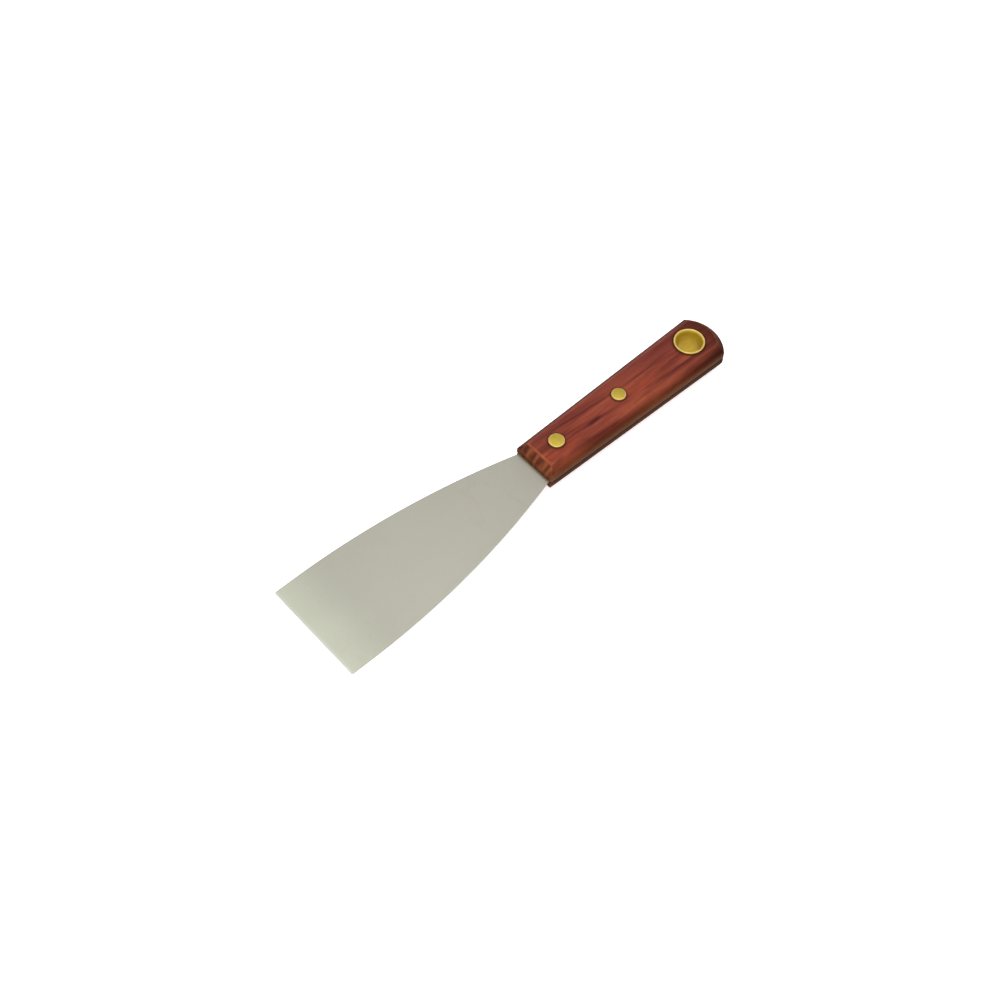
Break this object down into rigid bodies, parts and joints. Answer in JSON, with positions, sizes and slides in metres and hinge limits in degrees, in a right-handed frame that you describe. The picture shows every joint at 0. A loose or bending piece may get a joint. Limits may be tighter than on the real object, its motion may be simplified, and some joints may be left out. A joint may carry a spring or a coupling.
{
  "type": "flexible putty knife",
  "caption": "Flexible putty knife: a thin flared steel blade with a full tang, riveted between faceted rosewood scales, with a brass-lined hanging hole.",
  "frame": {"origin": "under the middle of the knife, at the height of the lowest brass rim on the handle's underside", "axes": "+X from the scraping edge to the butt, +Y across the blade, +Z out of the blade's upper face"},
  "size_m": [0.235, 0.0508, 0.0178],
  "materials": {
    "blade_steel": "satin ground spring steel, slightly warm grey",
    "scale_wood": "reddish-brown rosewood with dark streaks along the grain, satin oil finish",
    "rivet_brass": "satin brass pan heads, brighter at the rim",
    "eyelet_brass": "bright drawn brass, polished rolled rim"
  },
  "bodies": {
    "root": {"blade": "blade_steel", "upper_scale": "scale_wood", "lower_scale": "scale_wood", "front_rivet_sleeve": "rivet_brass", "front_rivet_pin": "rivet_brass", "rear_rivet_sleeve": "rivet_brass", "rear_rivet_pin": "rivet_brass", "eyelet": "eyelet_brass"}
  },
  "joints": []
}
